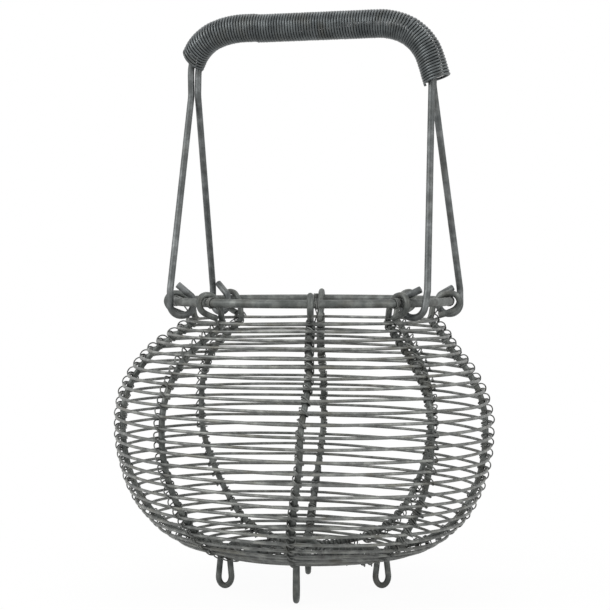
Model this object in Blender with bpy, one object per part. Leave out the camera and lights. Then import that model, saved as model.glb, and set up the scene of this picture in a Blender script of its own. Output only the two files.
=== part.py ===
"""A round wire onion basket on four looped feet, with a coil-gripped handle.

Eight ribs of stiff wire hang from a rim hoop by open eyes bent over its top. Rows of thinner
wire ring the ribs from the neck to the middle of the base. Four of the ribs are two long
wires that cross under the middle, and each of them is looped down twice as a foot. The
handle is two bail wires, side by side inside one close coil, whose legs fan apart to four
open hooks round the rim.

The body is bent by hand: each rib wanders a little round the body, the neck and rim stand
to the right of the belly, and the base tips down to the right.

Sizes are in metres with +Z up. The origin is on the floor, under the middle of the belly,
and -Y is the front. Angles are in degrees and run from the front towards +X.
"""

import math

import bmesh
import bpy
from mathutils import Vector

# Wire gauges, and the gap between wires that touch
RIB_WIRE = 0.0045
ROW_WIRE = 0.0022
RIM_WIRE = 0.006
BAIL_WIRE = 0.005
GRIP_WIRE = 0.002
SEAT_GAP = 0.0003

# Rim hoop, and how far the neck and rim stand to the right of the belly
RIM_RADIUS = 0.1015
RIM_HEIGHT = 0.2142
RIM_SHIFT = 0.0065

# Body, measured to the middle of a rib wire. The neck and shoulder hang below the rim.
BELLY_RADIUS = 0.135
BELLY_HEIGHT = 0.121
NECK_RADIUS = 0.0885
NECK_DROP = 0.0157
SHOULDER_DROP = 0.041
NECK_HEIGHT = RIM_HEIGHT - NECK_DROP
SHOULDER_HEIGHT = RIM_HEIGHT - SHOULDER_DROP
BASE_HEIGHT = 0.031
SHOULDER_POWER = 1.17
BASE_POWER = 0.46
BASE_TILT = 1.8

# Each rib's angle at the rim, shoulder, belly and base, going round from the front
RIB_ANGLES = (
    (-1.0, 2.0, -1.0, -5.0), (37.0, 42.0, 40.5, 37.5),
    (87.0, 87.5, 88.0, 90.0), (132.0, 130.0, 131.5, 135.0),
    (175.5, 173.0, 173.0, 176.5), (219.0, 219.0, 217.5, 211.0),
    (266.0, 267.0, 268.0, 270.0), (313.0, 312.5, 313.5, 317.0),
)
RIB_STEP = 0.0125
RIB_END_RADIUS = 0.0125

# Eye of a rib over the rim, in shares of the least reach that clears the rim
EYE_SHARES = (
    (-1.45, -1.93), (-0.45, -1.62), (0.78, -1.04), (1.32, -0.10), (0.90, 0.78),
    (0.0, 1.02), (-1.10, 0.72), (-2.02, -0.36),
)

# Foot: a teardrop loop of the rib wire, outer width across the loop
FOOT_RADIUS = 0.0584
FOOT_WIDTH = 0.014
FOOT_BEND = 0.004
FOOT_FLAT_DEPTH = 0.0005

# Rows of thin wire round the ribs
SIDE_ROWS = 28
BASE_ROWS = 5
ROW_INNER_RADIUS = 0.016
ROW_POINTS_BETWEEN_RIBS = 3

# Crossing of the two long wires under the middle
CROSS_TOP_HALF = 0.005
CROSS_FOOT_HALF = 0.013

# Handle, turned about the rim and pushed a little towards its right end
HANDLE_ANGLE = 73.0
HOOK_ANGLES = {"front": (-74.5, 44.5), "rear": (-133.0, 100.0)}
HANDLE_SHIFT = 0.003
HOOK_OUT = 0.0085
HOOK_IN = 0.0085
HOOK_DROP = 0.0100
HOOK_BEND = 0.0080
TAIL_SLOPE = 40.0
TAIL_CLEARANCE = 0.0003
TAIL_BEND = 0.005
LIFT_CLEARANCE = 0.0004

# Grip: the wires' level run, and where their legs start to fan apart below it
GRIP_RISE = 0.208
GRIP_HALF_SPAN_LEFT = 0.0958
GRIP_HALF_SPAN_RIGHT = 0.0880
FAN_DROP_LEFT = 0.0534
FAN_DROP_RIGHT = 0.0512
FAN_BEND = 0.012

# Coil wound round the grip: how far each end turns down, and its length beyond the corner
GRIP_COIL_WIDTH = 0.0212
GRIP_PITCH = 0.0034
COIL_CLEARANCE = 0.0005
COIL_TURN_LEFT = 58.3
COIL_TURN_RIGHT = 63.4
COIL_BEND_LEFT = 0.038
COIL_BEND_RIGHT = 0.031
COIL_END_LEFT = 0.0273
COIL_END_RIGHT = 0.0455
TURN_POINTS = 8

BEND_STEPS = 5
SMALL_BEND_STEPS = 3
FOOT_STEPS = 7
RIB_SIDES = 6
COIL_BEND_STEPS = 60
HALF_TURN = math.pi
QUARTER_TURN = math.pi / 2


def clear_scene():
    for found in list(bpy.data.objects):
        bpy.data.objects.remove(found, do_unlink=True)


def steel(name, colour, roughness):
    material = bpy.data.materials.new(name)
    material.use_nodes = True
    shader = material.node_tree.nodes["Principled BSDF"]
    shader.inputs["Base Color"].default_value = (*colour, 1.0)
    shader.inputs["Metallic"].default_value = 1.0
    shader.inputs["Roughness"].default_value = roughness
    return material


def lengths_along(points):
    totals = [0.0]
    for before, after in zip(points, points[1:]):
        totals.append(totals[-1] + (after - before).length)
    return totals


def point_at(points, totals, length):
    """The point and the direction at a length along a line of points."""
    length = min(max(length, 0.0), totals[-1])
    for index in range(1, len(points)):
        if length <= totals[index] or index == len(points) - 1:
            run = totals[index] - totals[index - 1]
            share = (length - totals[index - 1]) / run
            step = points[index] - points[index - 1]
            return points[index - 1] + step * share, step.normalized()
    return points[-1], (points[-1] - points[-2]).normalized()


def smooth_through(points, steps):
    """A smooth line through every point, with even steps between one and the next."""
    padded = [points[0] * 2 - points[1], *points, points[-1] * 2 - points[-2]]
    line = []
    for before, start, end, after in zip(padded, padded[1:], padded[2:], padded[3:]):
        for step in range(steps):
            share = step / steps
            lift = (end - before) * share + (before * 2 - start * 5 + end * 4 - after) * share ** 2
            lift += (start * 3 - before - end * 3 + after) * share ** 3
            line.append(start + lift / 2)
    line.append(points[-1])
    return line


def bend(before, corner, after, radius, steps):
    """Points of the arc that rounds one corner of a line."""
    back = (before - corner).normalized()
    ahead = (after - corner).normalized()
    half_angle = back.angle(ahead) / 2
    reach = radius / math.tan(half_angle)
    centre = corner + (back + ahead).normalized() * (radius / math.sin(half_angle))
    first = corner + back * reach - centre
    last = corner + ahead * reach - centre
    axis = first.cross(last).normalized()
    sweep = first.angle(last)
    side = axis.cross(first)
    arc = []
    for step in range(steps + 1):
        angle = sweep * step / steps
        arc.append(centre + first * math.cos(angle) + side * math.sin(angle))
    return arc


def rounded(corners, radii, steps):
    """A line through corners, each inner one rounded with its own radius and steps."""
    line = [corners[0]]
    places = zip(corners, corners[1:], corners[2:], radii, steps)
    for before, corner, after, radius, count in places:
        line.extend(bend(before, corner, after, radius, count))
    line.append(corners[-1])
    return line


def spread_out(points, step):
    """The same line with points an even step apart."""
    totals = lengths_along(points)
    count = max(2, round(totals[-1] / step))
    return [point_at(points, totals, totals[-1] * index / count)[0] for index in range(count + 1)]


def wire(name, points, gauge, material, origin=Vector(), sides_step=1, closed=False):
    """A round wire along a line of points; its object stands at the origin given."""
    curve = bpy.data.curves.new(name, "CURVE")
    curve.dimensions = "3D"
    curve.bevel_depth = gauge / 2
    curve.bevel_resolution = sides_step
    curve.use_fill_caps = not closed
    spline = curve.splines.new("POLY")
    spline.use_cyclic_u = closed
    spline.points.add(len(points) - 1)
    for spot, point in zip(spline.points, points):
        spot.co = (*(point - origin), 1.0)
    curve.materials.append(material)
    made = bpy.data.objects.new(name, curve)
    made.location = origin
    bpy.context.collection.objects.link(made)
    return made


def cut_flat_below(made, height):
    """Turn a wire into a mesh and cut it flat at a height, closing the cuts."""
    graph = bpy.context.evaluated_depsgraph_get()
    mesh = bpy.data.meshes.new_from_object(made.evaluated_get(graph))
    name = made.name
    material = made.data.materials[0]
    bpy.data.objects.remove(made, do_unlink=True)
    work = bmesh.new()
    work.from_mesh(mesh)
    bmesh.ops.remove_doubles(work, verts=work.verts, dist=SEAT_GAP / 10)
    everything = [*work.verts, *work.edges, *work.faces]
    cut = bmesh.ops.bisect_plane(
        work, geom=everything, plane_co=(0.0, 0.0, height), plane_no=(0.0, 0.0, -1.0),
        clear_outer=True)
    edges = [part for part in cut["geom_cut"] if isinstance(part, bmesh.types.BMEdge)]
    bmesh.ops.holes_fill(work, edges=edges, sides=0)
    bmesh.ops.recalc_face_normals(work, faces=work.faces)
    work.to_mesh(mesh)
    work.free()
    flat = bpy.data.objects.new(name, mesh)
    bpy.context.collection.objects.link(flat)
    if not mesh.materials:
        mesh.materials.append(material)
    return flat


def turned(angle, radius, height):
    """A place at an angle from the front, before any bending by hand."""
    turn = math.radians(angle)
    return Vector((radius * math.sin(turn), -radius * math.cos(turn), height))


def bent(sideways, height):
    """How far hand bending moves a place on the body: right near the neck, tipped below."""
    share = (height - SHOULDER_HEIGHT) / (NECK_HEIGHT - SHOULDER_HEIGHT)
    share = min(max(share, 0.0), 1.0)
    right = RIM_SHIFT * share * share * (3 - 2 * share)
    down = (NECK_HEIGHT - height) / (NECK_HEIGHT - BASE_HEIGHT)
    above_foot = (height - FOOT_WIDTH) / (BASE_HEIGHT - FOOT_WIDTH)
    down = math.sin(QUARTER_TURN * min(max(down, 0.0), 1.0)) * min(max(above_foot, 0.0), 1.0)
    return Vector((right, 0.0, -math.tan(math.radians(BASE_TILT)) * down * sideways))


def rib_angle(place, height):
    """The angle of a rib at a height, eased between its given angles."""
    heights = (NECK_HEIGHT, SHOULDER_HEIGHT, BELLY_HEIGHT, BASE_HEIGHT)
    angles = RIB_ANGLES[place]
    if height >= heights[0]:
        return angles[0]
    for top, bottom, start, end in zip(heights, heights[1:], angles, angles[1:]):
        if height >= bottom:
            share = (top - height) / (top - bottom)
            return start + (end - start) * share * share * (3 - 2 * share)
    return angles[-1]


def body_outline():
    """Radius and height of a rib's middle line, from the neck to the middle of the base."""
    fineness = 60
    rise = NECK_HEIGHT - BELLY_HEIGHT
    swell = BELLY_RADIUS - NECK_RADIUS
    drop = BELLY_HEIGHT - BASE_HEIGHT
    points = []
    for step in range(fineness):
        share = 1 - step / fineness
        radius = NECK_RADIUS + swell * math.cos(QUARTER_TURN * share ** SHOULDER_POWER)
        points.append(Vector((radius, BELLY_HEIGHT + rise * share)))
    for step in range(fineness + 1):
        angle = QUARTER_TURN * step / fineness
        radius = BELLY_RADIUS * max(math.cos(angle), 0.0) ** BASE_POWER
        points.append(Vector((radius, BELLY_HEIGHT - drop * math.sin(angle))))
    return points


def base_height_at(radius):
    """Height of a rib's middle line under the belly, at a radius."""
    share = (radius / BELLY_RADIUS) ** (2 / BASE_POWER)
    return BELLY_HEIGHT - (BELLY_HEIGHT - BASE_HEIGHT) * math.sqrt(1 - share)


def on_base(radius):
    return Vector((radius, base_height_at(radius)))


def eye_outline():
    """Radius and height of a rib's eye, from its cut end round the rim to the neck."""
    reach = (RIM_WIRE + RIB_WIRE) / 2 + SEAT_GAP
    rim = Vector((RIM_RADIUS, RIM_HEIGHT))
    line = [rim + Vector(share) * reach for share in EYE_SHARES]
    between = (line[-1].y + NECK_HEIGHT) / 2
    line.append(Vector((NECK_RADIUS, between)))
    return line


def foot_outline():
    """Radius and height round one foot, from its outer side to its inner side."""
    half = (FOOT_WIDTH - RIB_WIRE) / 2
    neck = (RIB_WIRE + SEAT_GAP) / 2
    drop = half * math.cos(QUARTER_TURN / FOOT_STEPS)
    under = RIB_WIRE / 2 * math.cos(HALF_TURN / RIB_SIDES)
    middle = Vector((FOOT_RADIUS, under - FOOT_FLAT_DEPTH + drop))
    height = base_height_at(FOOT_RADIUS) - FOOT_BEND - middle.y
    lean = math.asin(half / math.hypot(neck, height)) - math.atan2(neck, height)
    loop = []
    for step in range(FOOT_STEPS + 1):
        angle = lean - (HALF_TURN + 2 * lean) * step / FOOT_STEPS
        loop.append(middle + Vector((math.cos(angle), math.sin(angle))) * half)
    outer = [on_base(FOOT_RADIUS + neck + 2 * FOOT_BEND), on_base(FOOT_RADIUS + neck), loop[0]]
    inner = [loop[-1], on_base(FOOT_RADIUS - neck), on_base(FOOT_RADIUS - neck - 2 * FOOT_BEND)]
    turn_in = bend(*[spot.to_3d() for spot in outer], FOOT_BEND, SMALL_BEND_STEPS)
    turn_out = bend(*[spot.to_3d() for spot in inner], FOOT_BEND, SMALL_BEND_STEPS)
    return [*[spot.to_2d() for spot in turn_in], *loop, *[spot.to_2d() for spot in turn_out]]


def rib_side(with_foot):
    """Radius and height of one rib, from its cut end in the eye to the inner end."""
    outline = body_outline()
    head = smooth_through([*eye_outline(), *outline[:1], *outline[8:9]], 3)[:-3]
    foot_half = (RIB_WIRE + SEAT_GAP) / 2 + FOOT_BEND
    stop = FOOT_RADIUS + foot_half + RIB_STEP / 2 if with_foot else RIB_END_RADIUS
    side = [point for point in outline if point.x > stop]
    if not with_foot:
        side.append(on_base(RIB_END_RADIUS))
    line = [*head, *spread_out(side, RIB_STEP)]
    if with_foot:
        line.extend(foot_outline())
    return line


def placed(line, place):
    """A flat line of radius and height, set round the body as one of its ribs."""
    spots = []
    for point in line:
        spot = turned(rib_angle(place, point.y), point.x, point.y)
        spots.append(spot + bent(spot.x, point.y))
    return spots


def cross_line(height):
    """Inner run of a long wire on one side of the middle, at the height it crosses at."""
    return [on_base(CROSS_FOOT_HALF), Vector((CROSS_TOP_HALF, height))]


def make_ribs(material):
    over = BASE_HEIGHT + RIB_WIRE + SEAT_GAP
    long_wires = (("rib_front_rear", 0, 4, BASE_HEIGHT), ("rib_right_left", 2, 6, over))
    for name, near, far, height in long_wires:
        half = [*rib_side(with_foot=True), *cross_line(height)]
        joined = wire(name, placed(half, near) + placed(half, far)[::-1], RIB_WIRE, material)
        cut_flat_below(joined, 0.0)
    short_names = {1: "rib_front_right", 3: "rib_rear_right", 5: "rib_rear_left", 7: "rib_front_left"}
    for place, name in short_names.items():
        wire(name, placed(rib_side(with_foot=False), place), RIB_WIRE, material)


def foot_clearance():
    """How far a row keeps from the middle of a foot, so that it clears the foot's bends."""
    return (RIB_WIRE + SEAT_GAP) / 2 + FOOT_BEND + ROW_WIRE / 2 + SEAT_GAP


def row_places():
    """Where each row touches the ribs: rib place, and the row's own radius and height."""
    outline = body_outline()
    off = (RIB_WIRE + ROW_WIRE) / 2 + SEAT_GAP
    side = []
    for before, spot in zip(outline, outline[1:]):
        along = (spot - before).normalized()
        row = spot + Vector((-along.y, along.x)) * off
        if row.x < FOOT_RADIUS + foot_clearance():
            break
        side.append((spot, row))
    totals = lengths_along([spot for spot, row in side])
    places = []
    for index in range(SIDE_ROWS):
        length = totals[-1] * index / (SIDE_ROWS - 1)
        spot, along = point_at([spot for spot, row in side], totals, length)
        places.append((spot, spot + Vector((-along.y, along.x)) * off))
    outer = FOOT_RADIUS - foot_clearance()
    for index in range(BASE_ROWS):
        radius = outer + (ROW_INNER_RADIUS - outer) * index / (BASE_ROWS - 1)
        spot = on_base(radius)
        places.append((spot, Vector((radius, spot.y - off))))
    return places


def row_line(spot, row):
    """One row: a point at each rib, and some between one rib and the next."""
    angles = [rib_angle(place, spot.y) for place in range(len(RIB_ANGLES))]
    angles.append(angles[0] + 360.0)
    between = ROW_POINTS_BETWEEN_RIBS if row.x > FOOT_RADIUS else ROW_POINTS_BETWEEN_RIBS - 1
    line = []
    for start, end in zip(angles, angles[1:]):
        for step in range(between):
            angle = start + (end - start) * step / between
            sideways = turned(angle, spot.x, spot.y).x
            line.append(turned(angle, row.x, row.y) + bent(sideways, spot.y))
    return line


def make_rows(material):
    for number, (spot, row) in enumerate(row_places(), start=1):
        name = f"weave_row_{number:02d}"
        wire(name, row_line(spot, row), ROW_WIRE, material, sides_step=0, closed=True)


def rim_centre():
    return Vector((RIM_SHIFT, 0.0, RIM_HEIGHT))


def make_rim(material):
    bpy.ops.mesh.primitive_torus_add(
        major_radius=RIM_RADIUS, minor_radius=RIM_WIRE / 2,
        major_segments=48, minor_segments=8, location=rim_centre())
    hoop = bpy.context.object
    hoop.name = "rim_hoop"
    hoop.data.materials.append(material)


def handle_along():
    """Direction of the grip, from its left end to its right end."""
    return turned(HANDLE_ANGLE, 1.0, 0.0)


def handle_across():
    """Direction from the front bail to the rear bail."""
    return turned(HANDLE_ANGLE + 90.0, 1.0, 0.0)


def handle_centre():
    return rim_centre() + handle_along() * HANDLE_SHIFT


def hook_line(angle):
    """One hook, from its cut tail round under the rim to the foot of its leg."""
    slope = math.radians(TAIL_SLOPE)
    touch = (RIM_WIRE + BAIL_WIRE) / 2 + TAIL_CLEARANCE + HANDLE_SHIFT * math.sin(slope)
    tail_out = HOOK_OUT - BAIL_WIRE - 2 * SEAT_GAP
    rise = math.tan(slope)
    start = touch / math.cos(slope)
    corners = [
        (tail_out, start + tail_out * rise),
        (-HOOK_IN, start - HOOK_IN * rise),
        (-HOOK_IN, -HOOK_DROP),
        (HOOK_OUT, -HOOK_DROP),
        (HOOK_OUT, HOOK_OUT),
    ]
    middle = handle_centre()
    flat = [middle + turned(angle, RIM_RADIUS + out, height) for out, height in corners]
    return flat


def coil_radius():
    return (GRIP_COIL_WIDTH - GRIP_WIRE) / 2


def coil_offset():
    """How far the two wires lie off the coil's middle, close to its flat-sided turns."""
    bore = coil_radius() * math.cos(HALF_TURN / TURN_POINTS) - GRIP_WIRE / 2
    free = bore - BAIL_WIRE / 2 - COIL_CLEARANCE
    beside = (BAIL_WIRE + SEAT_GAP) / 2
    return math.sqrt(free * free - beside * beside)


def coil_corners():
    """Ends and corners of the coil's middle, as places along the grip and up from the rim.

    The legs leave the left end through its middle, and the right end along its inner side.
    """
    level = GRIP_RISE - coil_offset()
    left_turn = math.radians(COIL_TURN_LEFT)
    right_turn = math.radians(COIL_TURN_RIGHT)
    left_end = -GRIP_HALF_SPAN_LEFT
    right_end = GRIP_HALF_SPAN_RIGHT + coil_offset() * math.sin(right_turn)
    return (
        Vector((left_end, level - COIL_END_LEFT * math.sin(left_turn))),
        Vector((left_end + COIL_END_LEFT * math.cos(left_turn), level)),
        Vector((right_end - COIL_END_RIGHT * math.cos(right_turn), level)),
        Vector((right_end, level - COIL_END_RIGHT * math.sin(right_turn))),
    )


def bend_starts():
    """Where the coil, and the wires in it, start to turn down at the left and the right."""
    ends = coil_corners()
    left_reach = COIL_BEND_LEFT * math.tan(math.radians(COIL_TURN_LEFT) / 2)
    right_reach = COIL_BEND_RIGHT * math.tan(math.radians(COIL_TURN_RIGHT) / 2)
    return ends[1].x + left_reach, ends[2].x - right_reach


def bail_line(side):
    """One bail, tail to tail: side is -1 for the front wire and 1 for the rear one.

    The wires lie side by side across the grip, and at its left end one outside the other.
    """
    left_angle, right_angle = HOOK_ANGLES["front" if side < 0 else "rear"]
    along = handle_along()
    beside = (BAIL_WIRE + SEAT_GAP) / 2
    apart = handle_across() * side * beside
    up = Vector((0.0, 0.0, 1.0))
    middle = handle_centre()
    left = hook_line(left_angle)
    right = hook_line(right_angle)
    left_leg = -GRIP_HALF_SPAN_LEFT + side * beside
    left_top = middle + apart + along * left_leg + up * GRIP_RISE
    right_top = middle + apart + along * GRIP_HALF_SPAN_RIGHT + up * GRIP_RISE
    left_fan = middle + along * left_leg + up * (GRIP_RISE - FAN_DROP_LEFT)
    right_fan = right_top - up * FAN_DROP_RIGHT
    corners = [*left, left_fan, left_top, right_top, right_fan, *right[::-1]]
    left_start, right_start = bend_starts()
    hook_radii = [TAIL_BEND, HOOK_BEND, HOOK_BEND, HOOK_BEND, FAN_BEND]
    hook_steps = [SMALL_BEND_STEPS, BEND_STEPS, BEND_STEPS, SMALL_BEND_STEPS, SMALL_BEND_STEPS]
    left_bend = left_start + GRIP_HALF_SPAN_LEFT + beside
    grip_radii = [left_bend, GRIP_HALF_SPAN_RIGHT - right_start]
    radii = [*hook_radii, *grip_radii, *hook_radii[::-1]]
    steps = [*hook_steps, BEND_STEPS, BEND_STEPS, *hook_steps[::-1]]
    return rounded(corners, radii, steps)


def make_bails(material):
    for name, side in (("front_bail", -1), ("rear_bail", 1)):
        wire(name, bail_line(side), BAIL_WIRE, material, rim_centre(), 2)


def coil_middle_line():
    """The middle of the coil, from its left end over the hand to its right end."""
    up = Vector((0.0, 0.0, 1.0))
    middle = handle_centre()
    corners = [middle + handle_along() * place.x + up * place.y for place in coil_corners()]
    return rounded(corners, [COIL_BEND_LEFT, COIL_BEND_RIGHT], [COIL_BEND_STEPS] * 2)


def coil_line():
    """The coil's wire. Its turns keep an even pitch on the inner side of the bends."""
    middle = coil_middle_line()
    side = handle_across()
    inner = []
    for index, place in enumerate(middle):
        along = middle[min(index + 1, len(middle) - 1)] - middle[max(index - 1, 0)]
        inner.append(place - along.normalized().cross(side) * coil_radius())
    totals = lengths_along(inner)
    turns = round(totals[-1] / GRIP_PITCH)
    line = []
    for index in range(turns * TURN_POINTS + 1):
        place, along = point_at(middle, totals, totals[-1] * index / (turns * TURN_POINTS))
        outward = along.cross(side)
        angle = 2 * HALF_TURN * index / TURN_POINTS
        line.append(place + (side * math.cos(angle) + outward * math.sin(angle)) * coil_radius())
    return line


def least_gap_in_coil(line):
    """Smallest space between one turn of the coil and the next."""
    nearest = math.inf
    for index in range(len(line) - TURN_POINTS):
        for ahead in (TURN_POINTS - 1, TURN_POINTS, TURN_POINTS + 1):
            other = index + ahead
            if other < len(line):
                nearest = min(nearest, (line[index] - line[other]).length)
    return nearest - GRIP_WIRE


def make_grip(material):
    line = coil_line()
    print(f"least gap in the grip coil: {least_gap_in_coil(line) * 1000:.2f} mm")
    wire("grip_coil", line, GRIP_WIRE, material, rim_centre(), 1)


def print_lift():
    """How far the handle lifts before its hooks meet the rim."""
    rounding = HOOK_BEND - math.sqrt(HOOK_BEND ** 2 - HANDLE_SHIFT ** 2)
    lift = HOOK_DROP - rounding - (RIM_WIRE + BAIL_WIRE) / 2 - LIFT_CLEARANCE
    print(f"handle lift: {lift * 1000:.2f} mm")


clear_scene()
rib_steel = steel("rib_steel", (0.115, 0.118, 0.108), 0.48)
row_steel = steel("row_steel", (0.150, 0.150, 0.135), 0.45)
rim_steel = steel("rim_steel", (0.190, 0.195, 0.185), 0.42)
bail_steel = steel("bail_steel", (0.100, 0.104, 0.104), 0.45)
grip_steel = steel("grip_steel", (0.130, 0.128, 0.120), 0.45)
make_ribs(rib_steel)
make_rows(row_steel)
make_rim(rim_steel)
make_bails(bail_steel)
make_grip(grip_steel)
print_lift()
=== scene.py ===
# %% [markdown]
# # A wire onion basket
# This lesson dresses a bare CAD model of an old wire basket until it looks like the real one.
# The CAD model already has every wire in its place, but its wires are coarse tubes with few
# sides. Here each of them is drawn again as a fine round wire along the same line, and the
# thin binding wire, which the CAD model leaves out, is added.
# The first step loads the CAD model.

# %% Load the CAD model
import math
import random

import bpy
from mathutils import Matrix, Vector


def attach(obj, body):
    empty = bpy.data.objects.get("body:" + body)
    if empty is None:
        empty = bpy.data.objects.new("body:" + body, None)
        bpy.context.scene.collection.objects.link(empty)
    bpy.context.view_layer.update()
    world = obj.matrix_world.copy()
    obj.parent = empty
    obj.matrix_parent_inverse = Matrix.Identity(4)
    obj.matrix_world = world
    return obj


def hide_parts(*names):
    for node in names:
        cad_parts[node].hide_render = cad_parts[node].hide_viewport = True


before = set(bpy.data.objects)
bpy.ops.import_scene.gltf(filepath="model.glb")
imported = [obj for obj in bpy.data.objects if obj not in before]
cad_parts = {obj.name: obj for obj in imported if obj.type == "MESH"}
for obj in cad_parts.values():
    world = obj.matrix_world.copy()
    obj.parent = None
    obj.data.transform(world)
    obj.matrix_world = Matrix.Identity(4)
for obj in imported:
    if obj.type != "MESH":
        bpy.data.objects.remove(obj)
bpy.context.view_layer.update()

bpy.ops.object.select_all(action="DESELECT")

# %% [markdown]
# ## The sizes of the basket
# All sizes are real ones, in metres. The basket hangs from a rim hoop of stiff wire. Its ribs
# and its two handle wires are thinner, its rows thinner again, and one fine wire binds each
# row to each rib. Angles are in degrees from the front, which is -Y, towards the right.

# %% Wires and body sizes
RIB_WIRE = 0.0045
ROW_WIRE = 0.0022
RIM_WIRE = 0.0060
BAIL_WIRE = 0.0050
GRIP_WIRE = 0.00198
BINDING_WIRE = 0.0010
SEAT_GAP = 0.0003

BELLY_RADIUS = 0.135
BELLY_HEIGHT = 0.121
NECK_RADIUS = 0.0885
NECK_HEIGHT = 0.1985
BASE_HEIGHT = 0.031
SHOULDER_POWER = 1.17
BASE_POWER = 0.46
BASE_TILT = 1.8
RIM_RADIUS = 0.1015
RIM_HEIGHT = 0.2142
RIM_SHIFT = 0.0065
SHOULDER_HEIGHT = 0.1732
FOOT_RADIUS = 0.0584
FOOT_WIDTH = 0.014
FOOT_BEND = 0.004
FOOT_STRETCH = 1.45
SIDE_ROWS = 28
BASE_ROWS = 5
ROW_INNER_RADIUS = 0.016
RIB_END_RADIUS = 0.0125
CROSS_TOP_HALF = 0.005
CROSS_FOOT_HALF = 0.013

RIB_NAMES = ("front", "front_right", "right", "rear_right",
             "rear", "rear_left", "left", "front_left")
RIB_ANGLES = (
    (-1.0, 2.0, -1.0, -5.0), (37.0, 42.0, 40.5, 37.5),
    (87.0, 87.5, 88.0, 90.0), (132.0, 130.0, 131.5, 135.0),
    (175.5, 173.0, 173.0, 176.5), (219.0, 219.0, 217.5, 211.0),
    (266.0, 267.0, 268.0, 270.0), (313.0, 312.5, 313.5, 317.0),
)
EYE_SHARES = (
    (-1.45, -1.93), (-0.45, -1.62), (0.78, -1.04), (1.32, -0.10), (0.90, 0.78),
    (0.0, 1.02), (-1.10, 0.72), (-2.02, -0.36),
)
QUARTER_TURN = math.pi / 2
HALF_TURN = math.pi
FULL_TURN = 2 * math.pi
UP = Vector((0.0, 0.0, 1.0))
chance = random.Random(11)
print("ribs:", len(RIB_ANGLES))

# %% [markdown]
# ## Camera, floor and light
# The photograph is taken from the front with a long lens, a little above the rim and tipped
# slightly down. The floor and the world show white to the camera. Near the basket the floor
# keeps part of its real shading, so that the feet still have a soft shadow, and further out it
# fades to plain white. Three large soft lamps give the wires long, gentle highlights.

# %% Camera
CAMERA_DISTANCE = 1.3
CAMERA_HEIGHT = 0.2429
CAMERA_RIGHT = 0.0011
CAMERA_DIP = 0.0244
FOCAL_PIXELS = 1752.0
PICTURE_PIXELS = 610
SENSOR_WIDTH = 36.0

bpy.ops.object.camera_add(
    location=(CAMERA_RIGHT, -CAMERA_DISTANCE, CAMERA_HEIGHT),
    rotation=(QUARTER_TURN - CAMERA_DIP, 0.0, 0.0))
camera = bpy.context.object
camera.name = "photo_camera"
camera.data.sensor_width = SENSOR_WIDTH
camera.data.lens = SENSOR_WIDTH * FOCAL_PIXELS / PICTURE_PIXELS
bpy.context.scene.camera = camera
bpy.context.scene.view_settings.view_transform = "Standard"
print(f"lens: {camera.data.lens:.1f} mm")


# %% One function for colours, and one that adds a node
def linear(hex_code):
    """The linear colour of an sRGB hex value."""
    shares = [int(hex_code[start:start + 2], 16) / 255 for start in (1, 3, 5)]
    straight = [s / 12.92 if s <= 0.04045 else ((s + 0.055) / 1.055) ** 2.4 for s in shares]
    return (*straight, 1.0)


def add_node(tree, kind, values=None, links=None, **settings):
    """Add a node, set its settings and input values, and link its inputs from sockets."""
    node = tree.nodes.new(kind)
    for name, value in settings.items():
        setattr(node, name, value)
    for socket, value in (values or {}).items():
        node.inputs[socket].default_value = value
    for socket, source in (links or {}).items():
        tree.links.new(source, node.inputs[socket])
    return node


# %% Floor and world, white to the camera
FLOOR_SIDE = 6.0
FLOOR_WHITE = "#f2f2f0"
CAMERA_WHITE_SHARE = 0.94
SHADE_REACH = (0.10, 0.42)
WORLD_STRENGTH = 0.70


def seen_directly(tree):
    """1 for camera, glossy and transmission rays, and 0 for the rest."""
    path = add_node(tree, "ShaderNodeLightPath")
    first = add_node(tree, "ShaderNodeMath", operation="MAXIMUM", links={
        0: path.outputs["Is Camera Ray"], 1: path.outputs["Is Glossy Ray"]})
    return add_node(tree, "ShaderNodeMath", operation="MAXIMUM", links={
        0: first.outputs[0], 1: path.outputs["Is Transmission Ray"]}).outputs[0]


bpy.ops.mesh.primitive_plane_add(size=FLOOR_SIDE, location=(0.0, 0.0, 0.0))
floor = bpy.context.object
floor.name = "studio_floor"
# Pale studio paper: matt and even, so that it shows nothing but a soft shadow.
paper = bpy.data.materials.new("pale_studio_paper")
paper.use_nodes = True
tree = paper.node_tree
tree.nodes.clear()
diffuse = add_node(tree, "ShaderNodeBsdfDiffuse", {"Color": linear(FLOOR_WHITE)})
glow = add_node(tree, "ShaderNodeEmission", {"Color": (1.0, 1.0, 1.0, 1.0), "Strength": 1.0})
spot = add_node(tree, "ShaderNodeTexCoord").outputs["Object"]
distance = add_node(tree, "ShaderNodeVectorMath", links={0: spot}, operation="LENGTH")
fade = add_node(tree, "ShaderNodeMapRange", {
    "From Min": SHADE_REACH[0], "From Max": SHADE_REACH[1], "To Min": CAMERA_WHITE_SHARE,
    "To Max": 1.0}, {"Value": distance.outputs["Value"]}, interpolation_type="SMOOTHSTEP")
amount = add_node(tree, "ShaderNodeMath", links={
    0: seen_directly(tree), 1: fade.outputs[0]}, operation="MULTIPLY")
mixed = add_node(tree, "ShaderNodeMixShader", links={
    0: amount.outputs[0], 1: diffuse.outputs[0], 2: glow.outputs[0]})
add_node(tree, "ShaderNodeOutputMaterial", links={"Surface": mixed.outputs[0]})
floor.data.materials.append(paper)

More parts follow.
